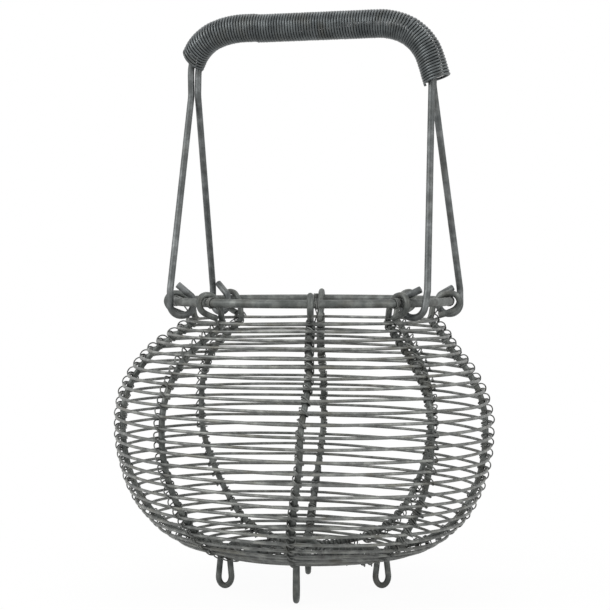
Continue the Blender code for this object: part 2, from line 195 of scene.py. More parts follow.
world = bpy.data.worlds.new("studio_world")
bpy.context.scene.world = world
world.use_nodes = True
tree = world.node_tree
tree.nodes.clear()
white = add_node(tree, "ShaderNodeBackground", {"Color": (1.0, 1.0, 1.0, 1.0), "Strength": 1.0})
soft = add_node(tree, "ShaderNodeBackground",
                {"Color": (1.0, 1.0, 1.0, 1.0), "Strength": WORLD_STRENGTH})
mixed = add_node(tree, "ShaderNodeMixShader", links={
    0: seen_directly(tree), 1: soft.outputs[0], 2: white.outputs[0]})
add_node(tree, "ShaderNodeOutputWorld", links={"Surface": mixed.outputs[0]})
print("floor and world are in place")

# %% Three soft lamps
LAMPS = {
    "key_lamp": ((-2.4, -1.3, 1.9), 1.6, 50.0),
    "fill_lamp": ((1.9, -1.4, 1.1), 1.6, 18.0),
    "top_lamp": ((0.1, 0.9, 2.8), 1.9, 15.0),
}
for name, (place, side, watts) in LAMPS.items():
    bpy.ops.object.light_add(type="AREA", location=place)
    lamp = bpy.context.object
    lamp.name = name
    lamp.data.size = side
    lamp.data.energy = watts
    aim = Vector((0.0, 0.0, BELLY_HEIGHT)) - Vector(place)
    lamp.rotation_euler = aim.to_track_quat("-Z", "Y").to_euler()
print("lamps:", list(LAMPS))

# %% [markdown]
# ## The finish: old zinc on steel wire
# The wires were drawn from mild steel and dipped in zinc. Years of use have turned the zinc
# dull and dark grey, with a brown and green cast where dirt sits, and lighter where hands rub.
# One recipe gives that: a fine grain from the zinc, weak blotches a few millimetres wide,
# paler worn places, and a small bump of the same grain. Low down, all tones are darker: that
# is painted shade, for the shade of the crowded base. Each group of wires has its own tones.

# %% A recipe for aged zinc
BLOTCH_SIZE = 0.009
DARK_AT = 0.32
MIDDLE_AT = 0.50
PALE_AFTER = 0.30
STAIN_SIZE = 0.016
STAIN_FROM = 0.50
STAIN_FULL = 0.70
STAIN_STRENGTH = 0.50
GRAIN_SIZE = 0.0009
GRAIN_DEPTH = 0.00012
GRAIN_RANGE = (0.3, 0.7)
GRAIN_TONES = (0.84, 1.10)
GRAIN_ROUGHNESS = (-0.10, 0.14)
BUMP_STRENGTH = 0.35
# Painted shade: below these heights every tone is darkened, since the crowded base lies in shade.
SHADE_PAINTED_BELOW = 0.030
PAINTED_SHADE_ENDS_ABOVE = 0.060
PAINTED_SHADE_SHARE = 0.74


def aged_zinc(name, dark, middle, pale, stain, metallic, roughness, wear=0.5):
    """A material of dull zinc. More wear brings more of the pale tone."""
    material = bpy.data.materials.new(name)
    material.use_nodes = True
    tree = material.node_tree
    shader = tree.nodes["Principled BSDF"]
    place = add_node(tree, "ShaderNodeTexCoord").outputs["Object"]
    blotch = add_node(tree, "ShaderNodeTexNoise", {
        "Scale": 1 / BLOTCH_SIZE, "Detail": 5.0, "Roughness": 0.6}, {"Vector": place})
    grain = add_node(tree, "ShaderNodeTexNoise", {
        "Scale": 1 / GRAIN_SIZE, "Detail": 3.0, "Roughness": 0.7}, {"Vector": place})
    streak = add_node(tree, "ShaderNodeTexNoise", {
        "Scale": 1 / STAIN_SIZE, "Detail": 4.0, "Roughness": 0.55, "Distortion": 0.6},
        {"Vector": place})
    tones = add_node(tree, "ShaderNodeValToRGB", links={0: blotch.outputs[0]})
    ramp = tones.color_ramp
    ramp.elements[0].position = DARK_AT
    ramp.elements[0].color = linear(dark)
    ramp.elements[1].position = MIDDLE_AT
    ramp.elements[1].color = linear(middle)
    ramp.elements.new(MIDDLE_AT + PALE_AFTER * (1 - wear)).color = linear(pale)
    stained = add_node(tree, "ShaderNodeMapRange", {
        "From Min": STAIN_FROM, "From Max": STAIN_FULL, "To Min": 0.0, "To Max": STAIN_STRENGTH},
        {"Value": streak.outputs[0]})
    dirty = add_node(tree, "ShaderNodeMix", {7: linear(stain)}, {
        0: stained.outputs[0], 6: tones.outputs[0]}, data_type="RGBA")
    fine = add_node(tree, "ShaderNodeMapRange", {
        "From Min": GRAIN_RANGE[0], "From Max": GRAIN_RANGE[1],
        "To Min": GRAIN_TONES[0], "To Max": GRAIN_TONES[1]}, {"Value": grain.outputs[0]})
    # Painted shade: the colour is darkened low down, standing in for the shade under the belly.
    height = add_node(tree, "ShaderNodeSeparateXYZ", links={0: place}).outputs["Z"]
    low = add_node(tree, "ShaderNodeMapRange", {
        "From Min": SHADE_PAINTED_BELOW, "From Max": PAINTED_SHADE_ENDS_ABOVE, "To Min": PAINTED_SHADE_SHARE, "To Max": 1.0},
        {"Value": height}, interpolation_type="SMOOTHSTEP")
    share = add_node(tree, "ShaderNodeMath", links={
        0: fine.outputs[0], 1: low.outputs[0]}, operation="MULTIPLY")
    grained_and_shaded = add_node(tree, "ShaderNodeVectorMath", links={
        0: dirty.outputs[2], 1: share.outputs[0]}, operation="MULTIPLY")
    tree.links.new(grained_and_shaded.outputs[0], shader.inputs["Base Color"])
    rough = add_node(tree, "ShaderNodeMapRange", {
        "From Min": GRAIN_RANGE[0], "From Max": GRAIN_RANGE[1],
        "To Min": roughness + GRAIN_ROUGHNESS[0], "To Max": roughness + GRAIN_ROUGHNESS[1]},
        {"Value": grain.outputs[0]})
    tree.links.new(rough.outputs[0], shader.inputs["Roughness"])
    bump = add_node(tree, "ShaderNodeBump", {
        "Strength": BUMP_STRENGTH, "Distance": GRAIN_DEPTH}, {"Height": grain.outputs[0]})
    tree.links.new(bump.outputs[0], shader.inputs["Normal"])
    shader.inputs["Metallic"].default_value = metallic
    return material


# %% The finishes
finishes = {
    # Old zinc on the ribs: dull, dark grey and weakly blotched, since hands seldom touch it.
    "rib_steel": aged_zinc("dull_zinc_on_ribs", "#484b49", "#606361", "#7b7e7b", "#56534c",
                           0.75, 0.52),
    # Old zinc on the rows: the same on thin drawn wire, a little paler and smoother.
    "row_steel": aged_zinc("dull_zinc_on_rows", "#5b5d5b", "#767876", "#90928e", "#686559",
                           0.75, 0.48, 0.6),
    # Rubbed zinc on the rim: worn by hands and onions, it has broad and soft highlights.
    "rim_steel": aged_zinc("rubbed_zinc_on_rim", "#4e514f", "#626563", "#7b7e7b", "#5a5852",
                           0.75, 0.54),
    # Old zinc on the bails: more even and slightly blue, with a long highlight on each leg.
    "bail_steel": aged_zinc("dull_zinc_on_handle", "#4c4f4f", "#5f6262", "#777a7a", "#53534f",
                            0.78, 0.50),
    # Zinc on the grip: darkened evenly by hands, so that its turns show as fine stripes.
    "grip_steel": aged_zinc("hand_worn_zinc_on_grip", "#494d4e", "#5a5e5f", "#6c7172", "#504f4a",
                            0.82, 0.36, 0.2),
    # Annealed binding wire: soft iron, dark and matt from the fire, with little zinc left.
    "binding_steel": aged_zinc("dark_annealed_binding_wire", "#525452", "#696b69", "#838582",
                               "#5c5850", 0.70, 0.55),
}
# A cut end: the bare steel inside the wire, paler than the zinc round it.
cut_finish = aged_zinc("bare_cut_wire_end", "#6f7170", "#8b8d8b", "#a3a5a2", "#7a756b",
                       0.80, 0.50)
print("finishes:", [material.name for material in finishes.values()])

# %% [markdown]
# ## Drawing one wire
# A round wire is easiest as a path with a round bevel. Its line is worked out point by point,
# then the path is turned into a mesh. A cut end is a little smaller than the wire, which gives
# it the small chamfer that cutters leave, and its face is paler, because zinc never covered it.


# %% A helper that draws a wire
END_SHARE = 0.92
END_CHAMFER = 0.0002
SMOOTH_BELOW = math.radians(50.0)


def drawn_wire(name, points, gauge, finish, body, sides=12, closed=False, stands_for=()):
    """A fine round wire along points, made a mesh, with its finish and the body it rides on."""
    bpy.ops.object.select_all(action="DESELECT")
    bpy.ops.curve.primitive_nurbs_path_add(location=(0.0, 0.0, 0.0))
    path = bpy.context.object
    path.name = name
    path.data.splines.clear()
    path.data.dimensions = "3D"
    path.data.twist_mode = "MINIMUM"
    path.data.bevel_depth = gauge / 2
    path.data.bevel_resolution = sides // 2 - 2
    path.data.use_fill_caps = not closed
    spline = path.data.splines.new("POLY")
    spline.use_cyclic_u = closed
    spline.points.add(len(points) - 1)
    for spot, point in zip(spline.points, points):
        spot.co = (*point, 1.0)
    if not closed:
        spline.points[0].radius = END_SHARE
        spline.points[-1].radius = END_SHARE
    bpy.ops.object.convert(target="MESH")
    wire = bpy.context.object
    wire.data.materials.clear()
    wire.data.materials.append(finishes[finish])
    wire.data.materials.append(cut_finish)
    # Only the caps at the cut ends have more than four corners.
    for face in wire.data.polygons:
        face.material_index = 1 if len(face.vertices) > 4 else 0
    bpy.ops.object.shade_smooth_by_angle(angle=SMOOTH_BELOW)
    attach(wire, body)
    # The record has no slot for binding wire, which is steel like the ribs.
    if stands_for:
        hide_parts(*stands_for)
    return wire


def with_cut_ends(points):
    """Add a point close to each end, so that only the very end is filed down."""
    first = points[0] + (points[1] - points[0]).normalized() * END_CHAMFER
    last = points[-1] + (points[-2] - points[-1]).normalized() * END_CHAMFER
    return [points[0], first, *points[1:-1], last, points[-1]]


# %% [markdown]
# ## The line of a rib
# A rib starts at its cut end under the rim, goes over the rim as an open eye, runs down past
# the neck, swells to the belly and turns in under the base. The real basket has been bent by
# use: each rib sits at its own angle, the neck leans to the right and the base is tipped.


# %% Helpers for lines in space
def lengths_along(points):
    """The length from the start of a line to each of its points."""
    totals = [0.0]
    for before, after in zip(points, points[1:]):
        totals.append(totals[-1] + (after - before).length)
    return totals


def point_at(points, totals, length):
    """The point and the direction at a length along a line of points."""
    length = min(max(length, 0.0), totals[-1])
    index = 1
    while index < len(points) - 1 and length > totals[index]:
        index += 1
    share = (length - totals[index - 1]) / (totals[index] - totals[index - 1])
    step = points[index] - points[index - 1]
    return points[index - 1] + step * share, step.normalized()


def spread_out(points, step):
    """The same line with its points an even step apart."""
    totals = lengths_along(points)
    count = max(2, round(totals[-1] / step))
    return [point_at(points, totals, totals[-1] * n / count)[0] for n in range(count + 1)]


def smooth_through(points, steps):
    """A smooth line (Catmull-Rom) through every point."""
    padded = [points[0] * 2 - points[1], *points, points[-1] * 2 - points[-2]]
    line = []
    for before, start, end, after in zip(padded, padded[1:], padded[2:], padded[3:]):
        for step in range(steps):
            share = step / steps
            lift = (end - before) * share + (before * 2 - start * 5 + end * 4 - after) * share ** 2
            lift += (start * 3 - before - end * 3 + after) * share ** 3
            line.append(start + lift / 2)
    line.append(points[-1])
    return line


def bend(before, corner, after, radius, steps):
    """Points of the arc that rounds one corner of a line."""
    back = (before - corner).normalized()
    ahead = (after - corner).normalized()
    half_angle = back.angle(ahead) / 2
    reach = radius / math.tan(half_angle)
    centre = corner + (back + ahead).normalized() * (radius / math.sin(half_angle))
    first = corner + back * reach - centre
    last = corner + ahead * reach - centre
    side = first.cross(last).normalized().cross(first)
    sweep = first.angle(last)
    turns = [sweep * step / steps for step in range(steps + 1)]
    return [centre + first * math.cos(turn) + side * math.sin(turn) for turn in turns]


def rounded(corners, radii, steps):
    """A line through corners, each inner one rounded with its own radius."""
    line = [corners[0]]
    for before, corner, after, radius in zip(corners, corners[1:], corners[2:], radii):
        line.extend(bend(before, corner, after, radius, steps))
    line.append(corners[-1])
    return line


# %% The hand-bent body
OUTLINE_STEPS = 60


def clamped(share):
    """A share kept between 0 and 1."""
    return min(max(share, 0.0), 1.0)


def eased(share):
    """A share that starts and stops gently."""
    return share * share * (3 - 2 * share)


def turned(angle, radius, height):
    """A place at an angle from the front, before any bending by hand."""
    turn = math.radians(angle)
    return Vector((radius * math.sin(turn), -radius * math.cos(turn), height))


def bent(sideways, height):
    """How far hand bending moves a place on the body: right near the neck, tipped below."""
    above_shoulder = clamped((height - SHOULDER_HEIGHT) / (NECK_HEIGHT - SHOULDER_HEIGHT))
    below_neck = clamped((NECK_HEIGHT - height) / (NECK_HEIGHT - BASE_HEIGHT))
    above_foot = clamped((height - FOOT_WIDTH) / (BASE_HEIGHT - FOOT_WIDTH))
    tip = math.tan(math.radians(BASE_TILT)) * math.sin(QUARTER_TURN * below_neck) * above_foot
    return Vector((RIM_SHIFT * eased(above_shoulder), 0.0, -tip * sideways))


def rib_angle(place, height):
    """The angle of a rib at a height, eased between its given angles."""
    heights = (NECK_HEIGHT, SHOULDER_HEIGHT, BELLY_HEIGHT, BASE_HEIGHT)
    angles = RIB_ANGLES[place]
    if height >= heights[0]:
        return angles[0]
    for top, bottom, start, end in zip(heights, heights[1:], angles, angles[1:]):
        if height >= bottom:
            return start + (end - start) * eased((top - height) / (top - bottom))
    return angles[-1]


def body_outline():
    """Radius and height of a rib's middle line, from the neck to the middle of the base."""
    points = []
    for step in range(OUTLINE_STEPS):
        share = 1 - step / OUTLINE_STEPS
        swell = (BELLY_RADIUS - NECK_RADIUS) * math.cos(QUARTER_TURN * share ** SHOULDER_POWER)
        points.append(Vector((NECK_RADIUS + swell,
                              BELLY_HEIGHT + (NECK_HEIGHT - BELLY_HEIGHT) * share)))
    for step in range(OUTLINE_STEPS + 1):
        angle = QUARTER_TURN * step / OUTLINE_STEPS
        radius = BELLY_RADIUS * max(math.cos(angle), 0.0) ** BASE_POWER
        drop = (BELLY_HEIGHT - BASE_HEIGHT) * math.sin(angle)
        points.append(Vector((radius, BELLY_HEIGHT - drop)))
    return points


def on_base(radius):
    """A place on a rib's middle line under the belly, at a radius."""
    share = (radius / BELLY_RADIUS) ** (2 / BASE_POWER)
    return Vector((radius, BELLY_HEIGHT - (BELLY_HEIGHT - BASE_HEIGHT) * math.sqrt(1 - share)))


outline = body_outline()
rib_length = lengths_along(outline)[-1]
print(f"a rib is {rib_length * 1000:.0f} mm from the neck to the middle of the base")


# %% Eye, foot and whole line of a rib
FINE_STEP = 0.0035
EYE_STEPS = 8
LOOK_AHEAD = 8
FOOT_STEPS = 24
FOOT_BEND_STEPS = 6


def eye_line():
    """Radius and height of a rib's eye, from its cut end round the rim to the neck."""
    reach = (RIM_WIRE + RIB_WIRE) / 2 + SEAT_GAP
    rim = Vector((RIM_RADIUS, RIM_HEIGHT))
    line = [rim + Vector(share) * reach for share in EYE_SHARES]
    line.append(Vector((NECK_RADIUS, (line[-1].y + NECK_HEIGHT) / 2)))
    return smooth_through([*line, outline[0], outline[LOOK_AHEAD]], EYE_STEPS)[:-EYE_STEPS]


def foot_line():
    """Radius and height round one foot, from its outer side to its inner side."""
    half = (FOOT_WIDTH - RIB_WIRE) / 2
    neck = (RIB_WIRE + SEAT_GAP) / 2
    middle = Vector((FOOT_RADIUS, RIB_WIRE / 2 + half * FOOT_STRETCH))
    height = (on_base(FOOT_RADIUS).y - FOOT_BEND - middle.y) / FOOT_STRETCH
    lean = math.asin(half / math.hypot(neck, height)) - math.atan2(neck, height)
    loop = []
    for step in range(FOOT_STEPS + 1):
        angle = lean - (HALF_TURN + 2 * lean) * step / FOOT_STEPS
        loop.append(middle + Vector((math.cos(angle), math.sin(angle) * FOOT_STRETCH)) * half)
    outer = [on_base(FOOT_RADIUS + neck + 2 * FOOT_BEND), on_base(FOOT_RADIUS + neck), loop[0]]
    inner = [loop[-1], on_base(FOOT_RADIUS - neck), on_base(FOOT_RADIUS - neck - 2 * FOOT_BEND)]
    turn_in = bend(*[spot.to_3d() for spot in outer], FOOT_BEND, FOOT_BEND_STEPS)
    turn_out = bend(*[spot.to_3d() for spot in inner], FOOT_BEND, FOOT_BEND_STEPS)
    return [*[spot.to_2d() for spot in turn_in], *loop, *[spot.to_2d() for spot in turn_out]]


def rib_line(with_foot):
    """Radius and height of one rib, from its cut end in the eye to its inner end."""
    foot_reach = (RIB_WIRE + SEAT_GAP) / 2 + FOOT_BEND
    stop = FOOT_RADIUS + foot_reach + FINE_STEP if with_foot else RIB_END_RADIUS
    side = [point for point in outline if point.x > stop]
    if not with_foot:
        side.append(on_base(RIB_END_RADIUS))
    line = [*eye_line(), *spread_out(side, FINE_STEP)]
    if with_foot:
        line.extend(foot_line())
    return line


def placed(line, place):
    """A flat line of radius and height, set round the body as one of its ribs."""
    spots = []
    for point in line:
        spot = turned(rib_angle(place, point.y), point.x, point.y)
        spots.append(spot + bent(spot.x, point.y))
    return spots


# %% Draw the ribs
over = BASE_HEIGHT + RIB_WIRE + SEAT_GAP
for name, near, far, height in (("front_rear", 0, 4, BASE_HEIGHT), ("right_left", 2, 6, over)):
    half = [*rib_line(with_foot=True), on_base(CROSS_FOOT_HALF), Vector((CROSS_TOP_HALF, height))]
    whole = placed(half, near) + placed(half, far)[::-1]
    drawn_wire(f"long_rib_{name}", with_cut_ends(whole), RIB_WIRE,
               "rib_steel", "basket", stands_for=[f"rib_{name}"])
for place in (1, 3, 5, 7):
    name = RIB_NAMES[place]
    drawn_wire(f"short_rib_{name}", with_cut_ends(placed(rib_line(with_foot=False), place)),
               RIB_WIRE, "rib_steel", "basket", stands_for=[f"rib_{name}"])
print("ribs drawn")

# %% [markdown]
# ## The rows
# Each row is a thin wire laid round the outside of the ribs and bound to every one of them.
# Between two ribs it runs a little flatter than a circle, and since it was laid by hand it is
# never quite level, so each row gets small, repeatable waves of its own.

# %% Where the rows touch the ribs
ROW_OFF = (RIB_WIRE + ROW_WIRE) / 2 + SEAT_GAP


def row_places():
    """Each row's spot on the rib, its own radius and height, and if it is inside the feet."""
    foot_half = (RIB_WIRE + SEAT_GAP) / 2 + FOOT_BEND + ROW_OFF - RIB_WIRE / 2
    spots = []
    for before, spot in zip(outline, outline[1:]):
        along = (spot - before).normalized()
        if spot.x - along.y * ROW_OFF < FOOT_RADIUS + foot_half:
            break
        spots.append(spot)
    totals = lengths_along(spots)
    places = []
    for index in range(SIDE_ROWS):
        spot, along = point_at(spots, totals, totals[-1] * index / (SIDE_ROWS - 1))
        places.append((spot, spot + Vector((-along.y, along.x)) * ROW_OFF, False))
    outer = FOOT_RADIUS - foot_half
    for index in range(BASE_ROWS):
        spot = on_base(outer + (ROW_INNER_RADIUS - outer) * index / (BASE_ROWS - 1))
        places.append((spot, Vector((spot.x, spot.y - ROW_OFF)), True))
    return places


rows = row_places()
print("rows:", len(rows))

# %% Draw the rows
STEPS_BETWEEN_RIBS = 10
FLAT_SAG = 0.0008
TIE_WANDER = 0.0006
INSIDE_WANDER_SHARE = 0.4
SPAN_BOW = 0.0005


def row_line(spot, row, inside):
    """One row, with a tie at each rib and a gentle bow between the ties."""
    ties = [rib_angle(place, spot.y) for place in range(len(RIB_ANGLES))]
    ties.append(ties[0] + 360.0)
    wander = TIE_WANDER * (INSIDE_WANDER_SHARE if inside else 1.0)
    lifts = [chance.uniform(-wander, wander) for _ in RIB_ANGLES]
    lifts.append(lifts[0])
    bows = [chance.uniform(-SPAN_BOW, SPAN_BOW) for _ in RIB_ANGLES]
    line = []
    spans = zip(ties, ties[1:], lifts, lifts[1:], bows)
    for start, end, low, high, bow in spans:
        for step in range(STEPS_BETWEEN_RIBS):
            share = step / STEPS_BETWEEN_RIBS
            angle = start + (end - start) * share
            belly = math.sin(HALF_TURN * share) ** 2
            lift = low + (high - low) * eased(share) + bow * belly
            radius = row.x - FLAT_SAG * belly
            sideways = turned(angle, spot.x, spot.y).x
            line.append(turned(angle, radius, row.y + lift) + bent(sideways, spot.y))
    return line, lifts


row_lifts = []
for number, (spot, row, inside) in enumerate(rows, start=1):
    line, lifts = row_line(spot, row, inside)
    row_lifts.append(lifts)
    drawn_wire(f"row_wire_{number:02d}", line, ROW_WIRE, "row_steel", "basket",
               sides=8, closed=True, stands_for=[f"weave_row_{number:02d}"])
print("rows drawn")

# %% [markdown]
# ## The binding wire
# One fine wire is wound down each rib. Over every row it stands off as an open loop that
# starts well above the row and comes back to the rib just below it. Then it goes round behind
# the rib, pulls tight over the row up to three times, and goes on behind the rib to the next.
# The loops are not all pulled equally tight, which gives the ribs their knotty look.

# %% Draw the binding wire
TURN_GAP = 0.0001
TIGHT_RADIUS = (RIB_WIRE + BINDING_WIRE) / 2 + TURN_GAP
TIGHT_REACH = ROW_OFF + (ROW_WIRE + BINDING_WIRE) / 2
TIGHT_HALVES = (0.0019, 0.0006, 0.0013)
OPEN_STAND = 0.0008
OPEN_REACH = TIGHT_REACH + OPEN_STAND
OPEN_TOP = 0.0062
OPEN_BOTTOM = 0.0018
LOOP_SLACK = 0.0005
OPENNESS = (0.45, 0.6, 1.0, 0.8, 0.45, 1.0, 1.0, 1.0)
TIGHT_PASSES = (3, 2, 1, 1, 3, 1, 1, 1)
RING_FULLNESS = 0.6
TIGHT_FULLNESS = 0.45
LOOP_POINTS = 14
BACK_POINTS = 7
PASS_OVER = 0.0002
OUTWARD_PROBE = 0.002


def rib_frame(place, number):
    """Place of a tie, then the directions out of the rib, sideways, and down along it."""
    spot, row, _ = rows[number]
    here = placed([spot], place)[0]
    out = placed([spot + (row - spot).normalized() * OUTWARD_PROBE], place)[0] - here
    out.normalize()
    side = turned(rib_angle(place, spot.y) + 90.0, 1.0, 0.0)
    side = (side - out * side.dot(out)).normalized()
    along = side.cross(out).normalized()
    return here + UP * row_lifts[number][place] * abs(along.z), out, side, along


def front_loop(frame_here, top, bottom, reach, fullness):
    """The wire over the front of a row, a flat ring from the rib's left side to its right."""
    here, out, side, along = frame_here
    line = []
    for step in range(LOOP_POINTS):
        turn = HALF_TURN * step / (LOOP_POINTS - 1)
        down = (bottom - top) / 2 - (bottom + top) / 2 * math.cos(turn)
        stand = reach * abs(math.sin(turn)) ** fullness
        line.append(here + along * down + out * stand - side * TIGHT_RADIUS * math.cos(turn))
    return line


def back_turn(frame_here, start, end, extra):
    """The wire behind a rib, from its right side back to its left side."""
    _, out, side, _ = frame_here
    line = []
    middle_start = start - side * TIGHT_RADIUS
    middle_end = end + side * TIGHT_RADIUS
    for step in range(1, BACK_POINTS):
        share = step / BACK_POINTS
        turn = HALF_TURN * share
        radius = TIGHT_RADIUS + extra * math.sin(turn)
        line.append(middle_start.lerp(middle_end, share) + side * radius * math.cos(turn)
                    - out * radius * math.sin(turn))
    return line


def binding_line(place, numbers):
    """The binding wire along one rib, over the rows given by their numbers."""
    line = []
    for number in numbers:
        here = rib_frame(place, number)
        top = OPEN_BOTTOM + (OPEN_TOP - OPEN_BOTTOM) * OPENNESS[place]
        top += chance.uniform(-LOOP_SLACK, LOOP_SLACK)
        reach = OPEN_REACH + chance.uniform(0.0, LOOP_SLACK) * OPENNESS[place]
        bottom = OPEN_BOTTOM + chance.uniform(-LOOP_SLACK, LOOP_SLACK)
        opened = front_loop(here, top, bottom, reach, RING_FULLNESS)
        if line:
            line.extend(back_turn(here, line[-1], opened[0], 0.0))
        line.extend(opened)
        for half in TIGHT_HALVES[:TIGHT_PASSES[place]]:
            half += chance.uniform(-LOOP_SLACK, LOOP_SLACK) / 2
            tight = front_loop(here, half, half, TIGHT_REACH, TIGHT_FULLNESS)
            line.extend(back_turn(here, line[-1], tight[0], PASS_OVER))
            line.extend(tight)
    return line


outside_rows = [n for n, (_, _, inside) in enumerate(rows) if not inside]
inside_rows = [n for n, (_, _, inside) in enumerate(rows) if inside]
for place, name in enumerate(RIB_NAMES):
    runs = {"": outside_rows + inside_rows} if place % 2 else {
        "": outside_rows, "_under": inside_rows[:-1]}
    for ending, numbers in runs.items():
        drawn_wire(f"binding_wire_{name}{ending}", binding_line(place, numbers), BINDING_WIRE,
                   "binding_steel", "basket", sides=6)
print("binding wires drawn")

# %% [markdown]
# ## The rim hoop, its lashings and the ties of the feet
# The hoop is one stiff wire bent to a circle. Beside each rib's eye a few turns of binding wire
# grip the hoop, and the same wire runs down to hold the neck of the rib. Under the base, more
# turns hold the two legs of each foot together where they part.

# %% Draw the rim hoop
RIM_POINTS = 160
rim_middle = Vector((RIM_SHIFT, 0.0, RIM_HEIGHT))


def on_rim(angle, out=0.0, up=0.0):
    """A place at an angle round the hoop, some way out from its middle line and up from it."""
    return rim_middle + turned(angle, RIM_RADIUS + out, up)


hoop_line = [on_rim(360.0 * step / RIM_POINTS) for step in range(RIM_POINTS)]
drawn_wire("rim_hoop_wire", hoop_line, RIM_WIRE, "rim_steel", "rim", sides=24, closed=True,
           stands_for=["rim_hoop"])
print(f"hoop: {2 * RIM_RADIUS * 1000:.0f} mm across the middle of its wire")

# %% Draw the lashings
LASHING_RADIUS = (RIM_WIRE + BINDING_WIRE) / 2 + TURN_GAP
LASHING_START = (RIB_WIRE + BINDING_WIRE) / 2 + SEAT_GAP
LASHING_PITCH = 0.0012
LASHING_TURNS = 2.5
LASHING_POINTS = 14
LASHING_SIDES = (1, -1, 1, 1, 1, -1, 1, 1)
RUN_STEPS = 5
NECK_TURNS = 2.0
NECK_TOP = 0.2016
NECK_BOTTOM = 0.2002


def lashing_line(place):
    """Turns round the hoop beside an eye, a run down, and turns round the rib's neck."""
    side = LASHING_SIDES[place]
    middle = rib_angle(place, RIM_HEIGHT)
    line = []
    for step in range(round(LASHING_TURNS * LASHING_POINTS) + 1):
        turn = FULL_TURN * step / LASHING_POINTS
        along = LASHING_START + LASHING_PITCH * step / LASHING_POINTS
        line.append(on_rim(middle + side * math.degrees(along / RIM_RADIUS),
                           LASHING_RADIUS * math.cos(turn), LASHING_RADIUS * math.sin(turn)))
    out = turned(middle, 1.0, 0.0)
    beside = turned(middle + 90.0, 1.0, 0.0) * side
    neck = rim_middle + out * NECK_RADIUS - UP * RIM_HEIGHT
    wraps = []
    for step in range(round(NECK_TURNS * LASHING_POINTS) + 1):
        turn = QUARTER_TURN + FULL_TURN * step / LASHING_POINTS
        height = NECK_TOP + (NECK_BOTTOM - NECK_TOP) * step / (NECK_TURNS * LASHING_POINTS)
        wraps.append(neck + UP * height
                     + (out * math.cos(turn) + beside * math.sin(turn)) * TIGHT_RADIUS)
    halfway = (line[-1] + wraps[0]) / 2 + beside * LASHING_PITCH / 2
    return line[:-1] + smooth_through([line[-1], halfway, wraps[0]], RUN_STEPS) + wraps[1:]


for place, name in enumerate(RIB_NAMES):
    drawn_wire(f"lashing_{name}", with_cut_ends(lashing_line(place)), BINDING_WIRE,
               "binding_steel", "basket", sides=8)
print("lashings drawn")

# %% Tie the feet
FOOT_TURNS = 4
FOOT_TIE_LOW = 0.0046
FOOT_TIE_HIGH = 0.0008
TIE_SQUARENESS = 0.5


def foot_tie_line(place):
    """Turns of binding wire round the two legs of a foot, where they part under the base."""
    top = on_base(FOOT_RADIUS).y
    line = []
    for step in range(FOOT_TURNS * LASHING_POINTS + 1):
        share = step / (FOOT_TURNS * LASHING_POINTS)
        below = FOOT_TIE_LOW + (FOOT_TIE_HIGH - FOOT_TIE_LOW) * share
        into_bend = max(FOOT_BEND - below, 0.0)
        apart = (RIB_WIRE + SEAT_GAP) / 2 + FOOT_BEND - math.sqrt(FOOT_BEND ** 2 - into_bend ** 2)
        turn = FULL_TURN * step / LASHING_POINTS
        wide = math.copysign(abs(math.cos(turn)) ** TIE_SQUARENESS, math.cos(turn))
        deep = math.copysign(abs(math.sin(turn)) ** TIE_SQUARENESS, math.sin(turn))
        spot = Vector((FOOT_RADIUS + wide * (apart + TIGHT_RADIUS), top - below))
        beside = turned(rib_angle(place, spot.y) + 90.0, 1.0, 0.0)
        line.append(placed([spot], place)[0] + beside * deep * TIGHT_RADIUS)
    return line


for place in (0, 2, 4, 6):
    drawn_wire(f"foot_tie_{RIB_NAMES[place]}", with_cut_ends(foot_tie_line(place)), BINDING_WIRE,
               "binding_steel", "basket", sides=8)
print("feet tied")

# %% [markdown]
# ## The handle
# Two bail wires lie side by side in the grip. Past its ends their legs fan out, come down
# outside the rim, turn under it and up inside, and end in a cut tail that leans back over it.
# At the right the tails lie flatter, and the front hook also sweeps along the rim to the left.

# %% Handle sizes
HANDLE_ANGLE = 73.0
HOOK_ANGLES = {"front": (-74.5, 44.5), "rear": (-133.0, 100.0)}
HOOK_SWEEPS = {"front": (0.0, 3.9), "rear": (0.0, 1.0)}
SWEEP_SHARES = (0.1, 1.0, 1.1, 0.6, 0.0)
HANDLE_SHIFT = 0.003
HOOK_OUT = 0.0085
HOOK_IN = 0.0085
HOOK_DROP = 0.0100
HOOK_BEND = 0.0080
TAIL_SLOPE_LEFT = 40.0
TAIL_SLOPE_RIGHT = 28.0
TAIL_CLEARANCE = 0.0003
TAIL_BEND = 0.005
GRIP_RISE = 0.208
GRIP_HALF_SPAN_LEFT = 0.0958
GRIP_HALF_SPAN_RIGHT = 0.0880
FAN_DROP_LEFT = 0.0534
FAN_DROP_RIGHT = 0.0512
FAN_BEND = 0.012
BEND_STEPS = 14
handle_along = turned(HANDLE_ANGLE, 1.0, 0.0)
handle_across = turned(HANDLE_ANGLE + 90.0, 1.0, 0.0)
handle_middle = rim_middle + handle_along * HANDLE_SHIFT

# %% Coil sizes
COIL_WIDTH = 0.0212
CAD_COIL_WIRE = 0.0020
CAD_TURN_SIDES = 8
COIL_CLEARANCE = 0.0005
COIL_TURN_LEFT = math.radians(58.3)
COIL_TURN_RIGHT = math.radians(63.4)
COIL_BEND_LEFT = 0.038
COIL_BEND_RIGHT = 0.031
COIL_END_LEFT = 0.0273
COIL_END_RIGHT = 0.0455


def coil_offset():
    """How far the two bails lie off the coil's middle, as in the CAD model."""
    turn_radius = (COIL_WIDTH - CAD_COIL_WIRE) / 2
    bore = turn_radius * math.cos(HALF_TURN / CAD_TURN_SIDES) - CAD_COIL_WIRE / 2
    free = bore - BAIL_WIRE / 2 - COIL_CLEARANCE
    beside = (BAIL_WIRE + SEAT_GAP) / 2
    return math.sqrt(free * free - beside * beside)


